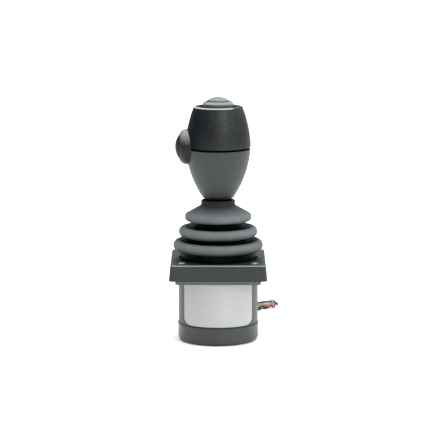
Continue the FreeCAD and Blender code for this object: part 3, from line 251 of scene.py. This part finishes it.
moulding = {  # what all of them share
    "smoothness": 0.6,                                      # of the cells' walls
    "fine": 0.35, "fineRoughness": 0.7,                     # the fine grain's size in cells
    "bend": 2.5, "bendShare": 0.25,                         # the slow waves' size in cells
    "patch": 0.02, "patchDetail": 4.0, "detail": 2.0,
    "patchTone": (0.3, 0.7, 0.0, 0.6), "grainTone": (0.2, 0.9, 0.0, 0.4),
    "paintedBandBreak": (0.2, 0.6, 0.6, 1.0),                       # how the patches break a painted band's tone
    "upperBreak": 0.5,                                      # how far the grain breaks the painted tone on what faces up
    "roughFine": 0.5, "roughFrom": (0.4, 1.1),
    "cellShare": 0.5, "ior": 1.48, "coat": 0.0, "coatRough": 0.25, "edges": [],  # where a look doesn't say
}
plasticLooks = {
    "capPlastic": {
        "dark": (0.003, 0.0036, 0.0042), "light": (0.011, 0.0125, 0.014), "rough": 0.44, "roughPlay": 0.1,
        "cell": 0.0016, "cellShare": 0.7, "depth": 0.0004, "ior": 1.1, "coat": 0.74, "coatRough": 0.42,
        # painted sheen: the coat covers the cap's right part and is missing on the left, so the left looks
        # shaded
        "paintedSheen": {"from": (-0.015, 0.001), "wander": 0.01, "wane": (0.006, 0.019, 1.0, 0.62),
                   "cellShare": 0.6, "broken": (0.25, 0.75, 0.74, 1.14)},
        # painted highlight: a light line on the rim's inner edge, fading out towards +X
        "edges": [{"z": (0.1572, 0.1590), "r": (0.0153, 0.0163), "soft": 0.0003,
                   "fade": (0.0085, 0.0110, 1.0, 0.0), "tone": (0.43, 0.455, 0.43)}],
    },
    "conePlastic": {
        "dark": (0.016, 0.0195, 0.0185), "light": (0.024, 0.028, 0.027), "rough": 0.46, "roughPlay": 0.04,
        "cell": 0.0004, "cellShare": 0.4, "depth": 0.00002,
        # painted shadow: a near-black band round the cone's foot
        "edges": [{"z": (0.0960, 0.0981), "r": (0.0, 0.0200), "soft": 0.0004,
                   "tone": (0.0008, 0.0008, 0.0008)}],
    },
    "bezelPlastic": {
        "dark": (0.011, 0.014, 0.0145), "light": (0.018, 0.022, 0.0225), "rough": 0.42, "roughPlay": 0.06,
        "cell": 0.0005, "depth": 0.00003,
        # painted highlight: a light line along the bezel's top outer edge
        "edges": [{"z": (0.0552, 0.0557), "r": (0.0290, 0.0500), "soft": 0.0001,
                   "tone": (0.20, 0.215, 0.21)}],
        # painted shade on the bezel's top face
        "upper": {"from": (0.8, 1.0), "tone": (0.010, 0.0125, 0.013)},
    },
    "housingPlastic": {
        "dark": (0.036, 0.039, 0.039), "light": (0.062, 0.066, 0.065), "rough": 0.42, "roughPlay": 0.06,
        "cell": 0.0006, "depth": 0.00004, "ior": 1.4,
        # painted light: a lighter band on the ledge, which lies in the bezel's shadow
        "edges": [{"z": (0.0424, 0.0450), "r": (0.0272, 0.0400), "soft": 0.0003,
                   "tone": (0.115, 0.12, 0.12)}],
    },
    "basePlastic": {
        "dark": (0.022, 0.0255, 0.0265), "light": (0.035, 0.0395, 0.0405), "rough": 0.36, "roughPlay": 0.05,
        "cell": 0.0005, "depth": 0.00003,
    },
    "topDome": {
        "dark": (0.113, 0.109, 0.116), "light": (0.174, 0.17, 0.179), "rough": 0.34, "roughPlay": 0.06,
        "cell": 0.0006, "depth": 0.00003,
        # painted shade: a near-black band round the dome's foot
        "edges": [{"z": (0.1500, 0.1626), "r": (0.0070, 0.0090), "soft": 0.0003,
                   "tone": (0.006, 0.006, 0.006)}],
    },
    "topRing": {
        "dark": (0.13, 0.132, 0.13), "light": (0.225, 0.229, 0.225), "rough": 0.28, "roughPlay": 0.06,
        "cell": 0.0006, "depth": 0.00005,
        # painted shade: a near-black line in the gap under the dome
        "edges": [{"z": (0.1618, 0.1630), "r": (0.0070, 0.0110), "soft": 0.0002,
                   "tone": (0.006, 0.006, 0.006)},
                  # painted shade on the ring's outer wall, down in the moat
                  {"z": (0.1560, 0.1599), "r": (0.0100, 0.0110), "soft": 0.0003,
                   "tone": (0.07, 0.073, 0.07)}],
    },
    "sideRing": {
        "dark": (0.004, 0.005, 0.006), "light": (0.012, 0.0135, 0.015), "rough": 0.27, "roughPlay": 0.08,
        "cell": 0.0008, "depth": 0.00024, "ior": 1.3,
        # painted highlight on what faces up, broken by the grain
        "upper": {"from": (0.25, 0.9), "tone": (0.22, 0.22, 0.22)},
    },
    "sideDome": {
        "dark": (0.010, 0.011, 0.0125), "light": (0.022, 0.024, 0.027), "rough": 0.4, "roughPlay": 0.06,
        "cell": 0.0006, "depth": 0.00004, "ior": 1.13,
    },
    "sealRubber": {
        "dark": (0.0008, 0.0008, 0.0008), "light": (0.0016, 0.0016, 0.0016), "rough": 0.6, "roughPlay": 0.05,
        "cell": 0.0004, "depth": 0.00001, "ior": 1.08,
    },
    # black nylon, kept darker and duller than plastic as painted shade in the opening of the bellows' collar
    "neckBlackAndShade": {
        "dark": (0.001, 0.001, 0.001), "light": (0.002, 0.002, 0.002), "rough": 0.5, "roughPlay": 0.05,
        "cell": 0.0004, "depth": 0.00001, "ior": 1.08,
    },
    "lightPlastic": {
        "dark": (0.015, 0.015, 0.016), "light": (0.03, 0.03, 0.03), "rough": 0.4, "roughPlay": 0.05,
        "cell": 0.0004, "depth": 0.00002,
    },
    "headerPlastic": {
        "dark": (0.55, 0.52, 0.43), "light": (0.7, 0.67, 0.58), "rough": 0.45, "roughPlay": 0.05,
        "cell": 0.0004, "depth": 0.00002,
    },
}


def mouldedPlastic(name, look):
    # a cellular grain with a fine one in it, over slow waves; slow patches of tone; painted highlights and
    # painted shade in bands, each a band of heights and of distances from Z; a painted tone, lighter or
    # darker, on what faces up; a painted sheen (coat) that starts at a place along X and leaves the side
    # before it looking shaded
    look = {**moulding, **look}
    material, sh = newMaterial(name)
    where = place(sh)
    walls = {"Vector": where, "Scale": 1 / look["cell"], "Smoothness": look["smoothness"]}
    cells = sh.add("ShaderNodeTexVoronoi", {"feature": "SMOOTH_F1"}, walls)
    fine = noise(sh, where, look["cell"] * look["fine"], look["detail"], look["fineRoughness"])
    bend = noise(sh, where, look["cell"] * look["bend"], look["detail"])
    height = cells * look["cellShare"] + fine * (1 - look["cellShare"]) + bend * look["bendShare"]
    patch = noise(sh, where, look["patch"], look["patchDetail"])
    tone = spread(sh, patch, *look["patchTone"]) + spread(sh, height, *look["grainTone"])
    colour = mixed(sh, tone, look["dark"], look["light"])
    level, side, radius = along(sh, "Z", where), along(sh, "X", where), fromAxis(sh, where)
    # painted highlights and painted shade, each in a band of heights and of distances from Z
    for edge in look["edges"]:
        mask = band(sh, level, *edge["z"], edge["soft"]) * band(sh, radius, *edge["r"], edge["soft"])
        mask = mask * spread(sh, patch, *look["paintedBandBreak"])
        if "fade" in edge:
            mask = mask * spread(sh, side, *edge["fade"])
        colour = mixed(sh, mask, colour, edge["tone"])
    # a painted tone on what faces up: a painted highlight or painted shade, as each look gives it
    if "upper" in look:
        mask = spread(sh, facingUp(sh) + (height - 0.5) * look["upperBreak"], *look["upper"]["from"])
        colour = mixed(sh, mask, colour, look["upper"]["tone"])
    play = (look["rough"] - look["roughPlay"], look["rough"] + look["roughPlay"])
    rough = spread(sh, patch + fine * look["roughFine"], *look["roughFrom"], *play)
    coat = look["coat"]
    # painted sheen: the coat starts at a place along X, so the side before it looks shaded
    if "paintedSheen" in look:
        paintedSheen = look["paintedSheen"]
        grain = cells * paintedSheen["cellShare"] + fine * (1 - paintedSheen["cellShare"])
        side = side + (patch - 0.5) * paintedSheen["wander"]
        coat = spread(sh, side, *paintedSheen["from"], 0.0, coat) * spread(sh, side, *paintedSheen["wane"])
        coat = coat * spread(sh, grain, *paintedSheen["broken"])
    surface(sh, colour, rough, height, look["depth"], ior=look["ior"], coat=coat, coatRough=look["coatRough"])
    return material


# rubber of the bellows; a row for noise is its size, detail and roughness

rubberLook = {
    "dark": (0.0012, 0.0013, 0.0014), "light": (0.138, 0.144, 0.148), "rough": 0.45, "ior": 1.11,
    "coneFoot": 0.0542, "coneSlope": 0.427,                 # the cone about Z that the grey starts from; nearer Z is painted shade
    "fade": 0.0042, "patch": (0.012, 5.0, 0.6), "wander": 0.0012,  # its softness, and how patches shift it
    "shoulder": (0.0846, 0.0858), "reach": (0.0112, 0.0215, 0.14, 0.95),  # the skirt's sloping top, painted lighter towards its rim
    "facing": (-1.0, 0.05, 0.6, 1.0),                       # less grey on what faces down: painted shade on undersides
    "bloom": 0.8, "bloomPlay": 0.3, "speck": (0.0005, 1.0, 0.4), "specks": (0.68, 0.74, 0.0, 0.2),
    "flow": (0.004, 2.0), "flowStretch": (1, 1, 9), "flowShare": 0.7, "fine": (0.0006, 2.0), "depth": 0.00003,
    "bloomAndPaintedLightRough": 0.12, "flowRough": 0.06,
}


def smoothRubber(name, look):
    # clean black deep in the folds as painted shade; greyed further out than a cone about Z and on the
    # skirt's sloping top by bloom and dust with painted light, less so on undersides (painted shade); faint
    # flow marks run round it
    material, sh = newMaterial(name)
    where = place(sh)
    radius, level = fromAxis(sh, where), along(sh, "Z", where)
    patch = noise(sh, where, *look["patch"])
    beyond = radius - (look["coneFoot"] - level * look["coneSlope"]) + (patch - 0.5) * look["wander"]
    shoulder = spread(sh, level, *look["shoulder"]) * spread(sh, radius, *look["reach"])
    bloomAndPaintedLight = sh.maths("MAXIMUM", spread(sh, beyond, 0.0, look["fade"]), shoulder)
    bloomAndPaintedLight = bloomAndPaintedLight * spread(sh, facingUp(sh), *look["facing"])
    specks = spread(sh, noise(sh, where, *look["speck"]), *look["specks"])
    grey = bloomAndPaintedLight * (look["bloom"] + patch * look["bloomPlay"]) + specks * bloomAndPaintedLight
    flow = noise(sh, place(sh, look["flowStretch"]), *look["flow"])
    height = flow * look["flowShare"] + noise(sh, where, *look["fine"]) * (1 - look["flowShare"])
    rough = look["rough"] + bloomAndPaintedLight * look["bloomAndPaintedLightRough"] - flow * look["flowRough"]
    surface(sh, mixed(sh, grey, look["dark"], look["light"]), rough, height, look["depth"], ior=look["ior"])
    return material


# metals; the stretch along Z lays the rings round a turned piece

staining = {
    "stain": (0.006, 4.0), "stainFrom": (0.4, 0.75), "stainRough": 0.12,
    "ringDetail": (3.0, 0.7), "ringRough": 0.1, "strength": 0.6,
}
metalLooks = {
    "zincPlated": {"light": (0.50, 0.505, 0.5), "dark": (0.33, 0.33, 0.315), "rough": 0.3,
                   "ring": 0.0004, "depth": 0.00002, "stretch": (1, 1, 1)},
    "dulledZinc": {"light": (0.30, 0.305, 0.30), "dark": (0.17, 0.175, 0.17), "rough": 0.42,
                   "ring": 0.0004, "depth": 0.00003, "stretch": (1, 1, 1)},
    "groundSteel": {"light": (0.6, 0.6, 0.6), "dark": (0.4, 0.4, 0.4), "rough": 0.22,
                    "ring": 0.0006, "depth": 0.00001, "stretch": (1, 1, 12)},
    "castMetal": {"light": (0.5, 0.5, 0.49), "dark": (0.36, 0.36, 0.36), "rough": 0.45,
                  "ring": 0.0008, "depth": 0.00006, "stretch": (1, 1, 1)},
    "sinteredBronze": {"light": (0.52, 0.35, 0.16), "dark": (0.34, 0.21, 0.09), "rough": 0.38,
                       "ring": 0.0004, "depth": 0.00003, "stretch": (1, 1, 4)},
}


def turnedMetal(name, look):
    # metal with a fine grain or rings, stained in patches
    material, sh = newMaterial(name)
    rings = noise(sh, place(sh, look["stretch"]), look["ring"], *staining["ringDetail"])
    stain = spread(sh, noise(sh, place(sh), *staining["stain"]), *staining["stainFrom"])
    rough = look["rough"] + stain * staining["stainRough"] + rings * staining["ringRough"]
    colour = mixed(sh, stain, look["light"], look["dark"])
    surface(sh, colour, rough, rings, look["depth"], staining["strength"], metal=1.0)
    return material


# label, board and wires

foilLook = {
    "dark": (0.39, 0.385, 0.370), "light": (0.44, 0.433, 0.417), "cloud": 0.03, "cloudFrom": (0.3, 0.7),
    "brush": (0.004, 4.0, 0.7), "brushStretch": (1, 1, 30), "depth": 0.000008, "strength": 0.5,
    "rough": 0.42, "brushRough": 0.1, "metal": 0.25,
}
maskLook = {
    "ground": (0.012, 0.09, 0.035), "track": (0.02, 0.15, 0.06),
    "tracksPerMetre": 260.0, "trackFrom": (0.42, 0.46),
    "rough": 0.3, "trackRough": 0.1, "depth": 0.00003, "strength": 0.7,
}
skinLook = {
    "grime": (0.003, 4.0), "grimeFrom": (0.4, 0.75), "fine": (0.0004, 2.0), "rough": 0.34, "fineRough": 0.15,
    "depth": 0.00002, "strength": 0.6,
}


def labelFoil(name, look):
    # bare silver foil on its plate: lines brushed level, slow clouds
    material, sh = newMaterial(name)
    brushed = noise(sh, place(sh, look["brushStretch"]), *look["brush"])
    cloud = spread(sh, noise(sh, place(sh), look["cloud"]), *look["cloudFrom"])
    rough = look["rough"] + brushed * look["brushRough"]
    colour = mixed(sh, cloud, look["dark"], look["light"])
    surface(sh, colour, rough, brushed, look["depth"], look["strength"], metal=look["metal"])
    return material


def boardMask(name, look):
    # green solder mask with tracks under it
    material, sh = newMaterial(name)
    cells = {"Vector": place(sh), "Scale": look["tracksPerMetre"]}
    track = spread(sh, sh.add("ShaderNodeTexVoronoi", {"distance": "MANHATTAN"}, cells), *look["trackFrom"])
    rough = look["rough"] + track * look["trackRough"]
    colour = mixed(sh, track, look["ground"], look["track"])
    surface(sh, colour, rough, track, look["depth"], look["strength"])
    return material


def insulation(name, look, tint, shade):
    # thin wire insulation: handled, a little dull, darker in patches
    material, sh = newMaterial(name)
    grime = spread(sh, noise(sh, place(sh), *look["grime"]), *look["grimeFrom"])
    fine = noise(sh, place(sh), *look["fine"])
    rough = look["rough"] + fine * look["fineRough"]
    surface(sh, mixed(sh, grime, tint, shade), rough, fine, look["depth"], look["strength"])
    return material


materials = {name: mouldedPlastic(name, look) for name, look in plasticLooks.items()}
materials.update({name: turnedMetal(name, look) for name, look in metalLooks.items()})
materials["bootRubber"] = smoothRubber("bootRubber", rubberLook)
materials["labelFoil"] = labelFoil("labelFoil", foilLook)
materials["boardMask"] = boardMask("boardMask", maskLook)
materials["innerLoom"] = insulation("innerLoom", skinLook, (0.05, 0.05, 0.055), (0.02, 0.02, 0.02))
finishes = {
    "capPlastic": ["handle_cap"],
    "conePlastic": ["handle_cone"],
    "bezelPlastic": ["bezel"],
    "housingPlastic": ["housing"],
    "basePlastic": ["base_cap"],
    "topDome": ["top_button_cap"],
    "topRing": ["top_button_bezel"],
    "sideRing": ["side_button_bezel"],
    "sideDome": ["side_button_cap"],
    "lightPlastic": ["magnet_holder", "top_button_nut", "side_button_nut", "top_switch", "side_switch",
                     "hall_sensor", "lead_tie"],
    "neckBlackAndShade": ["neck_bush"],
    "headerPlastic": ["board_header", "loom_plug"],
    "sealRubber": ["base_seal", "seam_gasket", "grommet"],
    "zincPlated": ["base_screws", "carrier_screws", "board_screws", "handle_nut", "spring_seat",
                   "retaining_ring", "magnet"],
    "dulledZinc": ["bezel_screws"],
    "groundSteel": ["shaft", "carrier_pins", "stick_pins", "cross_pin"],
    "castMetal": ["gimbal_carrier", "gimbal_ring", "pivot_hub"],
    "sinteredBronze": ["gimbal_bushes", "handle_insert", "board_spacers"],
    "labelFoil": ["label"],
    "boardMask": ["sensor_board"],
    "innerLoom": ["inner_loom"],
}
for finish, names in finishes.items():
    for name in names:
        nodes[name].material_slots[0].material = materials[finish]
print("materials made:", len(bpy.data.materials))


# bellows; corners are (radius, height, rounding)

boot = {
    "wall": 0.0012, "around": 192, "longest": 0.0009, "closest": 0.0001125,
    "lower": [
        (0.0280, 0.04865, 0), (0.0256, 0.04865, 0.0006), (0.0256, 0.0609, 0.0006),
        (0.0302, 0.0609, 0.00333), (0.0302, 0.0683, 0.00333),
        (0.0210, 0.0678, 0.0006), (0.0210, 0.0691, 0),
    ],
    "upper": [
        (0.0210, 0.06915, 0), (0.0210, 0.0704, 0.0006),
        (0.02645, 0.0704, 0.00315), (0.02645, 0.0774, 0.00315),
        (0.0160, 0.0769, 0.0006), (0.0160, 0.0809, 0.0006),
        (0.0223, 0.0815, 0.0017), (0.0223, 0.0856, 0.0017),
        (0.0114, 0.0918, 0.0004), (0.0114, 0.0954, 0.0004), (0.0098, 0.0954, 0),
    ],
}


def bellows(name, corners):
    line = refined(roundedLine(corners), boot["longest"], boot["closest"])
    points, faces = walledTurn(line, boot["wall"], boot["around"])
    piece = makePiece(name, points, faces)
    piece.data.materials.append(materials["bootRubber"])
    return piece


bootLower = bellows("bootLower", boot["lower"])
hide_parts("boot_lower")
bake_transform(bootLower)
bootUpper = bellows("bootUpper", boot["upper"])
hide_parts("boot_upper")
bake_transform(bootUpper)
print("bellows made")


# springs; low and high are the (radius, height) of the wire's ends

springLooks = {
    "return": {"wire": 0.0009, "turns": 5, "low": (0.0182, 0.0592), "high": (0.0076, 0.0836), "around": 12},
    "topButton": {"wire": 0.0003, "turns": 4, "low": (0.0042, 0.1527), "high": (0.0042, 0.1600), "around": 8},
    "sideButton": {"wire": 0.0003, "turns": 4, "low": (0.0042, 0.0142), "high": (0.0042, 0.0240), "around": 8,
                   "lying": 0.1312},
}
stepsPerTurn = 40


def coilSpring(name, look, fromShare=0.0, toShare=1.0):
    # the angle, the radius and the height all grow evenly with the share of the wire; a lying spring is laid
    # over, its height along -X at the level given
    steps = int(look["turns"] * stepsPerTurn * (toShare - fromShare))
    share = np.linspace(fromShare, toShare, steps + 1)
    angle = share * look["turns"] * 2 * pi
    radius = look["low"][0] + share * (look["high"][0] - look["low"][0])
    height = look["low"][1] + share * (look["high"][1] - look["low"][1])
    line = np.stack([radius * np.cos(angle), radius * np.sin(angle), height], -1)
    upright = (0, 0, 1)
    if "lying" in look:
        line = line[:, [2, 1, 0]] * (-1, 1, 1) + (0, 0, look["lying"])
        upright = (1, 0, 0)
    points, faces = tubeAlong(line, look["wire"], look["around"], upright)
    piece = makePiece(name, points, faces)
    piece.data.materials.append(materials["zincPlated"])
    return piece


springLower = coilSpring("springLower", springLooks["return"], toShare=0.5)
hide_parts("return_spring")
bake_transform(springLower)
springUpper = coilSpring("springUpper", springLooks["return"], fromShare=0.5)
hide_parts("return_spring")
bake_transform(springUpper)
springTop = coilSpring("springTop", springLooks["topButton"])
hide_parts("top_button_spring")
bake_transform(springTop)
springSide = coilSpring("springSide", springLooks["sideButton"])
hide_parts("side_button_spring")
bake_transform(springSide)
print("springs made")


# leads

lead = {
    "diameter": 0.0032, "strand": 0.00052, "around": 10, "step": 0.0009,
    "lay": 0.00106, "twist": 38.0,                          # the outer leads' distance, and radians a metre
    "splay": 0.0017, "splayRate": 130.5, "splayPhase": 1.3, "splayEnd": 0.050,  # they part near the housing
    "curl": 2.1, "curlRate": 290.0, "curlPhase": 2.1,
    "route": [
        (0.02429, 0.01403, 0.0206), (0.0321, 0.0186, 0.0206), (0.0388, 0.0260, 0.0186),
        (0.0388, 0.0365, 0.0155), (0.0300, 0.0438, 0.0126), (0.0195, 0.0450, 0.0070),
        (0.0080, 0.0446, 0.00225),
    ],
    "coilCentre": (0.0, 0.0637, 0.00225), "coilFrom": 0.0194, "coilTo": 0.0162,
    "coilTurns": 2, "coilSteps": 12, "coilStart": -97.0,    # points a turn, and degrees from +X
    "colours": [                                            # each lead's insulation, clean and grimy
        ((0.62, 0.68, 0.78), (0.40, 0.45, 0.55)),
        ((0.33, 0.31, 0.10), (0.20, 0.19, 0.06)),
        ((0.012, 0.013, 0.012), (0.02, 0.02, 0.02)),
        ((0.02, 0.10, 0.05), (0.012, 0.05, 0.03)),
        ((0.15, 0.045, 0.04), (0.08, 0.03, 0.02)),
        ((0.32, 0.03, 0.04), (0.20, 0.02, 0.03)),
        ((0.45, 0.15, 0.18), (0.28, 0.09, 0.12)),
    ],
}


def leadLine(look):
    # the route's points, then the coil's: an angle that runs clockwise while the radius shrinks evenly
    count = look["coilTurns"] * look["coilSteps"]
    angle = np.radians(look["coilStart"]) - np.arange(count) / look["coilSteps"] * 2 * pi
    radius = np.linspace(look["coilFrom"], look["coilTo"], count)
    cx, cy, cz = look["coilCentre"]
    turns = np.stack([cx + radius * np.cos(angle), cy + radius * np.sin(angle), np.full(count, cz)], -1)
    route = np.concatenate([np.array(look["route"]), turns])
    curve = bpy.data.curves.new("leadLine", "CURVE")
    curve.dimensions = "3D"
    curve.resolution_u = 12
    spline = curve.splines.new("NURBS")
    spline.points.add(len(route) - 1)
    spline.points.foreach_set("co", np.concatenate([route, np.ones((len(route), 1))], 1).ravel())
    spline.order_u = 3
    spline.use_endpoint_u = True
    line = bpy.data.objects.new("leadLine", curve)
    bpy.context.scene.collection.objects.link(line)
    bpy.context.view_layer.update()
    mesh = bpy.data.meshes.new_from_object(line)
    points = np.empty(len(mesh.vertices) * 3)
    mesh.vertices.foreach_get("co", points)
    bpy.data.objects.remove(line)
    return points.reshape(-1, 3)


def leadStrands(look, path, travel):
    # one strand in the middle and the others round it: each runs at the path's point plus out x (cos swing
    # sideways + sin swing upwards); swing grows with the bundle's twist, and both wave where the leads part
    evenly = np.linspace(0, travel[-1], int(travel[-1] / look["step"]))
    middle = np.stack([np.interp(evenly, travel, path[:, i]) for i in range(3)], -1)
    sideways, upwards = squareTo(middle, (0, 0, 1))
    parted = np.sin(pi * np.clip(evenly / look["splayEnd"], 0, 1)) ** 2
    outer = len(look["colours"]) - 1
    strands = []
    for k in range(outer + 1):
        curl = look["curl"] * np.sin(look["curlRate"] * evenly + k * look["curlPhase"])
        splay = look["splay"] * np.cos(look["splayRate"] * evenly + k * look["splayPhase"]) ** 2
        swing = (k - 1) / outer * 2 * pi + look["twist"] * evenly + parted * curl
        out = (look["lay"] if k else 0) + parted * splay
        line = middle + (out * np.cos(swing))[:, None] * sideways + (out * np.sin(swing))[:, None] * upwards
        strands.append(tubeAlong(line, look["strand"], look["around"]))
    starts = np.cumsum([0] + [len(points) for points, _ in strands])
    faces = np.concatenate([faces + start for (_, faces), start in zip(strands, starts)])
    kinds = np.repeat(np.arange(outer + 1), [len(faces) for _, faces in strands])
    return np.concatenate([points for points, _ in strands]), faces, kinds


leadPath = leadLine(lead)
travel = travelled(leadPath)
points, faces, kinds = leadStrands(lead, leadPath, travel)
leads = makePiece("leads", points, faces)
for k, (tint, shade) in enumerate(lead["colours"]):
    leads.data.materials.append(insulation("lead%d" % (k + 1), skinLook, tint, shade))
leads.data.polygons.foreach_set("material_index", kinds)
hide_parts("lead_loom", "lead_coil")
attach(leads, "base")
print("leads made,", round(float(travel[-1]), 3), "m long")


# floor, light and camera

studio = {
    "floorReach": 14.0, "floorDrop": 0.0001, "floorTone": (0.99, 0.96, 0.955), "floorRough": 0.8,
    "skyTone": (0.93, 0.99, 1), "brightWay": (0.25, 0.02, 0.96), "skyLight": (0.1, 0.9, 0.10, 2.4),
    "aim": (0, 0, 0.08),
    "lights": {
        "overhead": {"spot": (0.05, -0.15, 1.3), "size": 0.9, "power": 4.2},
        "front": {"spot": (0.5, -1.15, 0.78), "size": 0.6, "power": 3.4},
        "upper": {"spot": (-0.6, 0.3, 1.3), "size": 0.22, "power": 2.2},
    },
    "cameraSpot": (0.0026, -1.450, 0.315), "cameraDown": 9.206,  # metres, and degrees below level
    "lens": 176.7, "sensor": 36.0, "clip": (0.01, 20.0),
}
quarters = np.array([(-1, -1, 0), (1, -1, 0), (1, 1, 0), (-1, 1, 0)])
floor = makePiece("floor", quarters * studio["floorReach"] - (0, 0, studio["floorDrop"]),
                  np.array([(0, 1, 2, 3)]), smooth=False)
floorMaterial, sh = newMaterial("paleFloor")
surface(sh, studio["floorTone"], studio["floorRough"])
floor.data.materials.append(floorMaterial)
world = bpy.data.worlds.new("studio")
world.use_nodes = True
world.node_tree.nodes.clear()
sky = Shade(world.node_tree)
heading = sky.add("ShaderNodeTexCoord", out="Generated")
facing = {0: heading, 1: studio["brightWay"]}
way = sky.add("ShaderNodeVectorMath", {"operation": "DOT_PRODUCT"}, facing, out="Value")
skyLight = {"Color": (*studio["skyTone"], 1), "Strength": spread(sky, way, *studio["skyLight"])}
glow = sky.add("ShaderNodeBackground", {}, skyLight)
worldEnd = world.node_tree.nodes.new("ShaderNodeOutputWorld")
world.node_tree.links.new(glow.socket, worldEnd.inputs["Surface"])
bpy.context.scene.world = world


def softBox(name, spot, size, power):
    # a round lamp turned to the aim: up or down from level by its slope, and round Z by its heading
    lamp = bpy.data.lights.new(name, "AREA")
    lamp.shape, lamp.size, lamp.energy = "DISK", size, power
    holder = bpy.data.objects.new(name, lamp)
    holder.location = spot
    x, y, z = np.array(studio["aim"]) - np.array(spot)
    holder.rotation_euler = (pi / 2 + np.arctan2(z, np.hypot(x, y)), 0, np.arctan2(y, x) - pi / 2)
    bpy.context.scene.collection.objects.link(holder)


for name, lamp in studio["lights"].items():
    softBox(name, **lamp)
camera = bpy.data.cameras.new("camera")
camera.sensor_width, camera.lens = studio["sensor"], studio["lens"]
camera.clip_start, camera.clip_end = studio["clip"]
view = bpy.data.objects.new("camera", camera)
view.location = studio["cameraSpot"]
view.rotation_euler = (radians(90 - studio["cameraDown"]), 0, 0)
bpy.context.scene.collection.objects.link(view)
bpy.context.scene.camera = view
bpy.context.scene.view_settings.view_transform = "Standard"
print("floor, lights and camera set")
